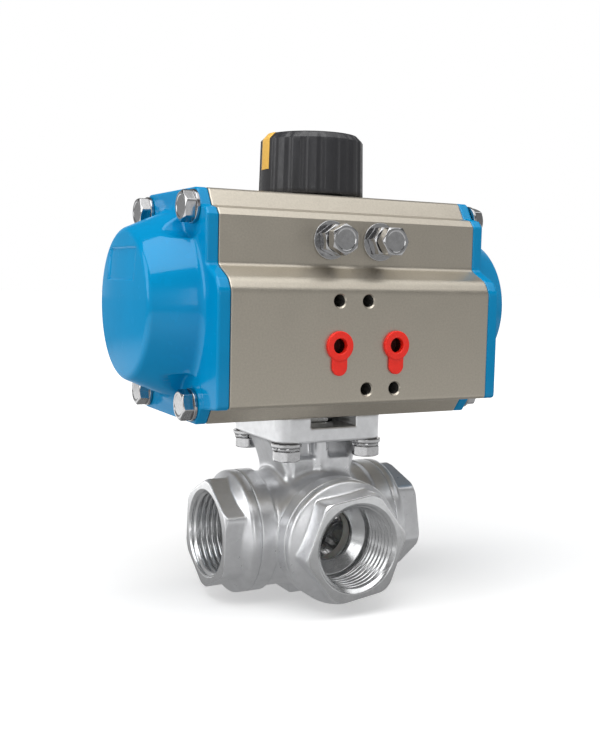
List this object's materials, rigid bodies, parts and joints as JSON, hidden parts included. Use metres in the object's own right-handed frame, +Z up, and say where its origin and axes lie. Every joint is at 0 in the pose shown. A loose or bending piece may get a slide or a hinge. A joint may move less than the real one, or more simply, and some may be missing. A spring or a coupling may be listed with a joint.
{
  "type": "pneumatic actuated valve",
  "caption": "Three-way threaded ball valve turned through a quarter turn by a double-acting rack and pinion pneumatic actuator with a position indicator knob.",
  "frame": {"origin": "centre of the bottom boss face, on the stem axis", "axes": "+Z up the stem, +X along the run ports and the actuator bore towards the right port, -Y towards the branch port and the air connection face"},
  "size_m": [0.158, 0.0827, 0.1815],
  "materials": {
    "cast_stainless": "satin investment cast stainless steel with fine grain",
    "machined_steel": "turned bare stainless steel",
    "bright_fastener": "bright zinc plated or polished stainless fastener",
    "anodised_body": "fine blasted, champagne grey hard anodised extrusion",
    "cap_paint": "glossy sky blue powder coat on die cast alloy",
    "piston_alloy": "bare die cast alloy",
    "knob_plastic": "matt black moulded plastic",
    "pointer_plastic": "yellow moulded plastic inlay",
    "plug_plastic": "soft red polyethylene",
    "white_polymer": "filled PTFE and acetal",
    "black_rubber": "nitrile rubber"
  },
  "bodies": {
    "housing": {"valve_body": "cast_stainless", "left_connector": "cast_stainless", "right_connector": "cast_stainless", "branch_connector": "cast_stainless", "left_gasket": "white_polymer", "right_gasket": "white_polymer", "branch_gasket": "white_polymer", "left_seat": "white_polymer", "right_seat": "white_polymer", "branch_seat": "white_polymer", "back_seat": "white_polymer", "stem_thrust_washer": "white_polymer", "stem_packing": "white_polymer", "gland_ring": "machined_steel", "pad_bolts": "bright_fastener", "pad_spring_washers": "bright_fastener", "pad_flat_washers": "bright_fastener", "actuator_body": "anodised_body", "left_end_cap": "cap_paint", "right_end_cap": "cap_paint", "left_cap_seal": "black_rubber", "right_cap_seal": "black_rubber", "left_cap_screws": "bright_fastener", "right_cap_screws": "bright_fastener", "left_cap_washers": "bright_fastener", "right_cap_washers": "bright_fastener", "lower_bush": "white_polymer", "upper_bush": "white_polymer", "stop_nuts": "bright_fastener", "stop_washers": "bright_fastener", "stop_seals": "black_rubber"},
    "drive_train": {"pinion": "machined_steel", "stop_cam": "machined_steel", "lower_shaft_seal": "black_rubber", "upper_shaft_seal": "black_rubber", "shaft_thrust_washer": "white_polymer", "retaining_ring": "machined_steel", "indicator": "knob_plastic", "indicator_pointer": "pointer_plastic", "indicator_screw": "bright_fastener", "stem": "machined_steel", "ball": "machined_steel", "belleville_washers": "machined_steel", "stem_nut": "machined_steel", "stem_lock_washer": "machined_steel"},
    "left_piston": {"left_piston": "piston_alloy", "left_piston_seal": "black_rubber", "left_guide_ring": "white_polymer", "left_rack_pad": "white_polymer"},
    "right_piston": {"right_piston": "piston_alloy", "right_piston_seal": "black_rubber", "right_guide_ring": "white_polymer", "right_rack_pad": "white_polymer"},
    "left_stop_bolt": {"left_stop_bolt": "bright_fastener"},
    "right_stop_bolt": {"right_stop_bolt": "bright_fastener"},
    "left_port_plug": {"left_port_plug": "plug_plastic"},
    "right_port_plug": {"right_port_plug": "plug_plastic"}
  },
  "joints": [
    {"name": "shaft_turn", "type": "hinge", "parent": "housing", "child": "drive_train", "pos_m": [0, 0, 0], "axis": [0, 0, 1], "range_deg": [0, 90]},
    {"name": "left_piston_slide", "type": "slide", "parent": "housing", "child": "left_piston", "axis": [-1, 0, 0], "range_m": [0, 0.0165]},
    {"name": "right_piston_slide", "type": "slide", "parent": "housing", "child": "right_piston", "axis": [1, 0, 0], "range_m": [0, 0.0165]},
    {"name": "left_stop_adjust", "type": "slide", "parent": "housing", "child": "left_stop_bolt", "axis": [0, -1, 0], "range_m": [0, 0.004]},
    {"name": "right_stop_adjust", "type": "slide", "parent": "housing", "child": "right_stop_bolt", "axis": [0, -1, 0], "range_m": [0, 0.004]},
    {"name": "left_plug_pull", "type": "slide", "parent": "housing", "child": "left_port_plug", "axis": [0, -1, 0], "range_m": [0, 0.06]},
    {"name": "right_plug_pull", "type": "slide", "parent": "housing", "child": "right_port_plug", "axis": [0, -1, 0], "range_m": [0, 0.06]}
  ],
  "couplings": [
    {"joint": "left_piston_slide", "follows": "shaft_turn", "m_per_rad": 0.0105},
    {"joint": "right_piston_slide", "follows": "shaft_turn", "m_per_rad": 0.0105}
  ]
}
